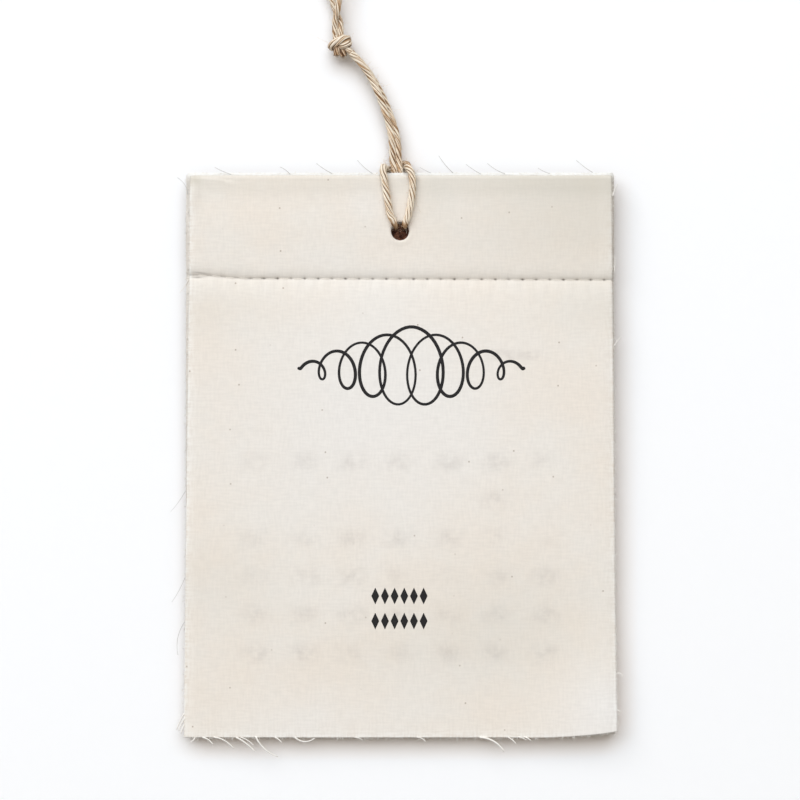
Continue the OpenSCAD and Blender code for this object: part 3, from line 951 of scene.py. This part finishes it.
# The cover's grid is close at the edges, the hole, the seam and each needle hole
top, low, seam = cover["topEdge"], cover["lowEdge"], stack["seamZ"] + cover["seamOff"]
between = np.array((0, 0.35, 0.8, 1.6, 2.4, 3.2, 4.0, 4.45))
coverColumns = np.concatenate([
    np.linspace(coverLow[0], needleX(0), 7)[:-1],
    (needleX(np.arange(cover["stitches"]))[:, None] + between).ravel(),
    np.linspace(needleX(cover["stitches"]), coverHigh[0], 5),
])
coverRows = stops(
    (top, top - 2, 0.25), (top - 2, hole["z"] + 7.2, 1.3), (hole["z"] + 7.2, hole["z"] - 7.2, 0.8),
    (hole["z"] - 7.2, seam + 4, 0.8), (seam + 4, seam + 2.2, 0.3), (seam + 2.2, seam - 1.2, 0.2),
    (seam - 1.2, seam - 6, 0.6), (seam - 6, low + 1, 1.75), (low + 1, low, 0.34),
)
coverSheet = makeSheet("cover_sheet", coverColumns, coverRows, cover, 0, coverCloth)
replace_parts(coverSheet, "front_cover")
print("cover made", len(coverColumns), len(coverRows))

# Month sheets: each a little off the one before it, and higher at the top edge towards the back
page = {
    "left": -51.1, "right": 99.2, "slip": 0.28, "topSlip": 0.3, "footSlip": 0.6,
    "climb": 0.1, "foot": 0.35, "cornerRise": 1.5,
}
holeLeft, holeRight = hole["x"] - hole["grid"], hole["x"] + hole["grid"]
holeTop, holeLow = hole["z"] + hole["grid"], hole["z"] - hole["grid"]
pageColumns = stops((pagesLow[0], holeLeft, 3.2), (holeLeft, holeRight, 1.6), (holeRight, pagesHigh[0], 3.2))


# Outline of a month sheet: upright sides, each stepped aside by its slip, and less so at the foot
def pageOutline(number, slip=(0, 0, 0, 0)):
    left, right, foot = page["left"], page["right"], page["footSlip"]
    return {
        "topLeft": left + slip[2], "lowLeft": left + slip[2] * foot,
        "topRight": right + slip[3], "lowRight": right + slip[3] * foot,
        "topEdge": top + page["climb"] * number + slip[0] * page["topSlip"],
        "lowEdge": low + page["foot"] + slip[1], "cornerRise": page["cornerRise"],
    }


pageSheets = []
for number in range(1, stack["pageCount"] + 1):
    outline = pageOutline(number, rng.uniform(-1, 1, 4) * page["slip"])
    pageTop, pageLow = outline["topEdge"], outline["lowEdge"]
    pageRows = stops(
        (pageTop, pageTop - 3, 0.5), (pageTop - 3, holeTop, 1.6), (holeTop, holeLow, 1.6),
        (holeLow, seam + 4, 1.6), (seam + 4, seam - 2, 0.4), (seam - 2, seam - 6, 0.8),
        (seam - 6, pageLow, 3.6),
    )
    name = f"month_page_{number:02d}"
    sheet = makeSheet(name, pageColumns, pageRows, outline, number, pageCloth)
    pageSheets.append(sheet)
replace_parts(pageSheets[0], "month_pages")
print("pages made")

# Stitches: the needle thread lies on the cover and dives into each hole, the bobbin thread does so behind
seamThread = {
    "radius": 0.17, "rings": 14, "sides": 8, "dive": 1.0, "divePower": 9,
    "half": 0.365, "ringPower": 0.8, "wander": 0.06, "needleOff": 0.017, "bobbinOff": 0.085,
}


# Stitches of one side, 1 for the front and -1 for the back: along X from hole to hole, with a flat top and
# ends that dive as a steep power of the place
def makeStitches(name, side, node):
    k = np.arange(cover["stitches"])
    t = np.linspace(-1, 1, seamThread["rings"])
    place = 0.5 + seamThread["half"] * np.sign(t) * np.abs(t) ** seamThread["ringPower"]
    x = needleX(k)[:, None] + cover["stitch"] * place
    z = seamLine(x) + seamThread["wander"] * np.sin(k * cover["stitchVary"])[:, None]
    face = sheetY(x, z, 0) + seamThread["needleOff"]
    if side < 0:
        face = stack["backY"] + seamThread["bobbinOff"]
    y = face + side * seamThread["dive"] * np.abs(t) ** seamThread["divePower"]
    paths = np.stack(np.broadcast_arrays(x, y, z), axis=-1)
    radii = np.full((*paths.shape[:2], seamThread["sides"]), seamThread["radius"])
    points = tubePoints(paths, radii, (1, 0, 0))
    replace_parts(makePiece(name, points, tubeFaces(*radii.shape), sewingThread), node)


makeStitches("needle_stitches", 1, "needle_thread")
makeStitches("bobbin_stitches", -1, "bobbin_thread")
print("stitches made")

# Loose threads that the raw edges have let go: start and tip in X and Z, sag, and half thickness
loose = {
    "thicker": 1.35, "fineUnder": 0.16, "rings": 12, "sides": 6, "lift": 0.1, "forward": 0.5, "vary": 0.4,
}
looseEnds = np.array([
    (-41.5, -287.9, -34.4, -291.9, 0.9, 0.2), (-33.7, -287.9, -27.0, -292.9, 0.5, 0.24),
    (-32.0, -287.9, -27.4, -290.8, 0.4, 0.16), (-26.7, -287.6, -18.9, -294.7, -1.2, 0.26),
    (-20.0, -287.9, -17.5, -289.7, 0.2, 0.2), (-13.0, -287.9, -5.9, -288.1, -1.4, 0.22),
    (-45.4, -288.0, -41.7, -290.5, 0.5, 0.22), (-48.0, -288.0, -49.7, -289.5, 0.3, 0.2),
    (52.0, -287.9, 60.6, -292.9, 1.3, 0.3), (62.0, -287.9, 64.8, -290.1, 0.2, 0.18),
    (65.5, -287.7, 68.4, -288.9, 0.2, 0.18), (67.6, -287.7, 70.1, -289.1, 0.2, 0.2),
    (30.0, -287.9, 33.0, -289.3, 0.4, 0.15), (8.0, -287.9, 11.0, -289.0, 0.3, 0.15),
    (-35.5, -89.9, -41.3, -87.4, 0.2, 0.1), (-14.7, -89.9, -18.2, -87.4, -0.3, 0.1),
    (0.1, -89.6, -5.4, -86.1, 0.2, 0.1), (14.3, -89.6, 9.0, -84.9, 0.3, 0.1),
    (34.9, -89.4, 31.0, -87.4, 0.1, 0.08), (42.7, -89.4, 37.6, -83.3, 0.3, 0.11),
    (52.5, -89.8, 47.2, -86.3, 0.2, 0.09), (61.0, -89.7, 54.8, -86.0, 0.4, 0.1),
    (76.8, -89.6, 72.6, -87.7, 0.2, 0.09), (91.9, -89.2, 86.0, -84.9, 0.2, 0.09),
    (-50.6, -97.2, -54.3, -91.2, -0.9, 0.09), (-51.9, -279.6, -54.5, -285.2, -0.2, 0.25),
    (-51.7, -281.2, -53.8, -285.6, -0.15, 0.25), (-51.9, -283.6, -52.9, -286.6, -0.2, 0.22),
    (98.9, -97.8, 100.5, -93.4, 0.25, 0.18), (98.6, -124.6, 98.3, -118.6, 0.1, 0.13),
    (99.4, -124.4, 99.6, -118.9, -0.15, 0.14), (-51.4, -201.3, -56.6, -208.6, 0.3, 0.08),
    (-51.6, -231.8, -56.2, -240.4, 0.3, 0.08), (-51.8, -247.5, -54.1, -259.0, -1.2, 0.09),
    (99.5, -150.3, 101.7, -147.2, 0.2, 0.14), (100.1, -265.4, 102.0, -266.8, 0.9, 0.14),
    (-50.7, -127.0, -53.6, -131.5, 0.3, 0.12), (100.0, -278.0, 101.6, -279.0, 0.2, 0.12),
])


# Each thread: a straight way from start to tip, bent by a parabola at right angles to it
def loosePaths():
    start, tip, sag = looseEnds[:, None, :2], looseEnds[:, None, 2:4], looseEnds[:, None, 4:5]
    t = np.linspace(0, 1, loose["rings"])[None, :, None]
    way = tip - start
    normal = unit(np.stack([-way[..., 1], way[..., 0]], axis=-1))
    flat = start + way * t + normal * sag * 4 * t * (1 - t)
    forward = loose["forward"] + loose["vary"] * np.sin(np.arange(len(looseEnds)) * 1.7)[:, None]
    depth = sheetY(start[..., 0], start[..., 1], 0) + loose["lift"] - t[..., 0] * forward
    return np.stack([flat[..., 0], depth, flat[..., 1]], axis=-1)


thickness = loose["thicker"] * looseEnds[:, 5]
# The finest threads take the darker greys of painted shade
fine = thickness < loose["fineUnder"]
looseCloth, fineCloth = [
    makeFibres(name, loosePaths()[chosen], thickness[chosen], material, loose["sides"])
    for name, chosen, material in (("loose_threads", ~fine, looseThread), ("shaded_fine_threads", fine, shadedFineThread))
]

# Fringe: short cut ends of the weave along the edges of the cover and of every other month sheet. The edges
# are left, right, top and foot, each with its run, its share of the length and the way out
fringe = {
    "gap": 0.7, "pageGap": 1.7, "length": (0.3, 1.7), "shorter": (0.3, 1.0), "radius": 0.1, "rings": 4,
    "slant": 0.5, "bend": 0.2, "root": -0.35,
    "edges": ((198, 0.75, (-1, 0)), (198, 0.75, (1, 0)), (150, 0.45, (0, 1)), (150, 1.0, (0, -1))),
}


# Each end: out from the edge, curled along it, and bent forward or back by the square of the place on it
def fringePaths(outline, number, gapBetween):
    left, right, high, foot = (outline[key] for key in ("topLeft", "topRight", "topEdge", "lowEdge"))
    starts = ((left, high), (right, high), (left, high), (left, foot))
    ends = ((outline["lowLeft"], foot), (outline["lowRight"], foot), (right, high), (right, foot))
    t = np.linspace(fringe["root"], 1, fringe["rings"])[None, :, None]
    found = []
    for start, end, (run, share, way) in zip(starts, ends, fringe["edges"]):
        count = int(run / gapBetween)
        place = rng.uniform(0, 1, count)
        x, z = (a + (b - a) * place for a, b in zip(start, end))
        if way == (0, -1):
            z = z + cutRise(x, outline)
        out = np.array(way, float)
        size = rng.uniform(*fringe["length"], (count, 1, 1)) * rng.uniform(*fringe["shorter"], (count, 1, 1))
        slant = rng.normal(0, fringe["slant"], (count, 1)) * out[::-1]
        flat = curled(np.stack([x, z], axis=-1), out[None], slant, size * share, t)
        bend = rng.normal(0, fringe["bend"], (count, 1)) * np.linspace(0, 1, fringe["rings"]) ** 2
        y = sheetY(x, z, number)[:, None] + stack["clothThick"] / 2 + bend
        found.append(np.stack([flat[..., 0], y, flat[..., 1]], axis=-1))
    return np.concatenate(found)


fringeAll = [fringePaths(cover, 0, fringe["gap"])]
for number in range(1, stack["pageCount"] + 1, 2):
    fringeAll.append(fringePaths(pageOutline(number), number, fringe["pageGap"]))
fringeAll = np.concatenate(fringeAll)
fringeCloth = makeFibres("edge_fringe", fringeAll, fringe["radius"], looseThread)
print("frayed edges made", len(fringeAll))

# Print: a pen flourish in one line, and twelve lozenges in two rows below it
flourish = {
    "x": 28.0, "z": -158.0, "wide": 80.0, "points": 420, "turns": 4.5,
    "small": 3.0, "grow": 9.5, "growPower": 1.2, "broad": 0.75, "high": 1.15,
    "line": 0.5, "vary": 0.18, "varyTo": 40, "tip": 0.4, "proud": 0.035, "thick": 0.03, "sides": 8,
}
lozenges = {
    "x": 23.8, "rows": (-238.3, -247.1), "pitch": 3.4, "half": 1.35, "tall": 2.9, "count": 6,
    "rings": 9, "blunt": 1.02,
}


# The flourish: a line that runs to the right while a circle turns, with loops that grow to the middle
def flourishLine():
    t = np.linspace(-1, 1, flourish["points"])
    turn = 2 * np.pi * flourish["turns"] * t
    size = flourish["small"] + flourish["grow"] * (1 - np.abs(t)) ** flourish["growPower"]
    x = flourish["wide"] * 0.5 * t + size * flourish["broad"] * np.sin(turn) * (1 - t ** 8)
    z = size * np.cos(turn) * (1 - t ** 6) * flourish["high"]
    return flourish["x"] + x, flourish["z"] + z


# A flat ribbon on the cover: an ellipse carried along the line, wide across it and thin off the cloth
def ribbonPoints(x, z, half):
    middle = np.stack([x, sheetY(x, z, 0) - flourish["proud"], z], axis=-1)
    aside = unit(np.cross(np.gradient(middle, axis=-2), (0, 1, 0)))
    angle = np.arange(flourish["sides"]) * 2 * np.pi / flourish["sides"]
    wide = np.cos(angle)[:, None] * aside[..., None, :] * half[..., None, None]
    return middle[..., None, :] + wide + np.sin(angle)[:, None] * np.array((0, flourish["thick"], 0))


def makeInk(name, points, lines):
    faces = tubeFaces(lines, points.shape[-3], flourish["sides"])
    makePiece(name, points, faces, printInk)


lineX, lineZ = flourishLine()
pressure = 1 + flourish["vary"] * np.sin(np.linspace(0, flourish["varyTo"], len(lineX)))
pressure *= flourish["line"]
pressure[[0, -1]] *= flourish["tip"]
makeInk("pen_flourish", ribbonPoints(lineX, lineZ, pressure), 1)
t = np.linspace(-1, 1, lozenges["rings"])
placeX = lozenges["x"] + (np.arange(lozenges["count"]) - (lozenges["count"] - 1) / 2) * lozenges["pitch"]
gridX, gridZ = [a.ravel()[:, None] for a in np.meshgrid(placeX, lozenges["rows"])]
markX, markZ, markHalf = np.broadcast_arrays(
    gridX, gridZ + lozenges["tall"] * t, lozenges["half"] * (lozenges["blunt"] - np.abs(t)),
)
makeInk("lozenge_marks", ribbonPoints(markX, markZ, markHalf), len(gridX))
print("print made")

# Stage: a wall that the part hangs against, which is clear from behind, and a pale floor well below
stage = {
    "wallY": 2.75, "lean": 0.0237, "level": -87.0, "floorZ": -1200.0, "half": 3000.0, "cove": 60.0,
    # near: a painted warm shadow on the wall where the cloth is close towards the key lamp
    "white": (0.992, 0.995, 1.0, 1), "thrown": (0.36, 0.355, 0.345, 1), "near": (1.0, 0.85, 0.72, 1),
    "reach": 0.01, "lampWay": (-0.4, -0.6, 0.69),
}


# Wall and floor in one: a straight drop that leans so the foot of the sheets all but rests on it, a quarter
# circle and a straight run forward, swept sideways
def makeStage():
    bend = np.linspace(0, np.pi / 2, 10)
    dropZ = stage["floorZ"] + stage["cove"] * (1 - np.sin(bend))
    profileZ = np.concatenate([[stage["half"] / 2], dropZ])
    profileY = stage["wallY"] + stage["lean"] * (profileZ - stage["level"])
    profileY[1:] -= stage["cove"] * (1 - np.cos(bend))
    profileY, profileZ = np.append(profileY, -stage["half"]), np.append(profileZ, stage["floorZ"])
    x = np.array((-stage["half"], stage["half"]))
    points = np.stack(np.broadcast_arrays(x[None], profileY[:, None], profileZ[:, None]), axis=-1)
    mesh = bpy.data.meshes.new("backdrop")
    index = np.arange(len(profileY) * 2).reshape(-1, 2)
    quads = np.stack([index[:-1, 0], index[1:, 0], index[1:, 1], index[:-1, 1]], axis=-1)
    mesh.from_pydata((points.reshape(-1, 3) * mm).tolist(), [], quads.tolist())
    mesh.materials.append(stageMaterial())
    backdrop = bpy.data.objects.new("backdrop", mesh)
    scene.collection.objects.link(backdrop)


# Rays that show a background: from the camera, and those that gloss and glass send on
def seenShare(light):
    seen = mathOf("MAXIMUM", light["Is Camera Ray"], light["Is Glossy Ray"])
    return mathOf("MAXIMUM", seen, light["Is Transmission Ray"])


# Matte white to the camera, with a painted warm shadow where the cloth is close on the side of the key lamp,
# and grey to the light that it throws back. It is clear from behind and to the first light rays, so that the
# back is lit too
def stageMaterial():
    material, tree = newMaterial("stageWhite", 0.95)
    clear = addNode(tree, "ShaderNodeBsdfTransparent").outputs[0]
    light = addNode(tree, "ShaderNodeLightPath").outputs
    way = addNode(tree, "ShaderNodeCombineXYZ", dict(zip("XYZ", stage["lampWay"]))).outputs[0]
    near = {"Distance": stage["reach"], "Normal": way}
    # Painted warm shadow where the cloth is close towards the key lamp
    clearing = addNode(tree, "ShaderNodeAmbientOcclusion", near, samples=8).outputs["AO"]
    white = mixColour(clearing, stage["near"], stage["white"])
    finished(material, mixColour(seenShare(light), stage["thrown"], white))
    behind = addNode(tree, "ShaderNodeNewGeometry").outputs["Backfacing"]
    first = mathOf("LESS_THAN", light["Diffuse Depth"], 0.5)
    passed = times(light["Is Shadow Ray"], first)
    matte = tree.nodes["Principled BSDF"].outputs[0]
    mixed = addNode(tree, "ShaderNodeMixShader", {0: mathOf("MAXIMUM", behind, passed), 1: matte, 2: clear})
    feed(tree.nodes["Material Output"].inputs["Surface"], mixed.outputs[0])
    return material


makeStage()
lamps = {
    "key": {"place": (-0.8, -3.0, 2.1), "size": (5.4, 3.6), "power": 187.0, "colour": (0.9, 0.941, 1.0)},
    "rear": {"place": (0.45, 1.6, 0.5), "size": (1.8, 1.6), "power": 30.0, "colour": (0.92, 0.955, 1.0)},
}
ambient = {"strength": 0.32, "colour": (1.0, 0.9, 0.76, 1), "seen": (0.955, 0.96, 0.97, 1)}


def addLamps():
    middle = Vector((view["midX"], stack["frontY"], view["midZ"])) * mm
    for name, given in lamps.items():
        data = bpy.data.lights.new(name, "AREA")
        data.shape = "RECTANGLE"
        data.size, data.size_y = given["size"]
        data.energy = given["power"]
        data.color = given["colour"]
        lamp = bpy.data.objects.new(name, data)
        lamp.location = middle + Vector(given["place"])
        lamp.rotation_euler = (middle - lamp.location).to_track_quat("-Z", "Y").to_euler()
        scene.collection.objects.link(lamp)


# World: a soft warm light from all around, and pale grey where it is seen itself
def addWorld():
    world = bpy.data.worlds.new("studio")
    world.use_nodes = True
    scene.world = world
    tree = world.node_tree
    background = tree.nodes["Background"].inputs
    seen = seenShare(addNode(tree, "ShaderNodeLightPath").outputs)
    feed(background["Strength"], rangeOf(seen, 0.0, 1.0, ambient["strength"], 1.0))
    feed(background["Color"], mixColour(seen, ambient["colour"], ambient["seen"]))


addLamps()
addWorld()
print("stage and lamps made")
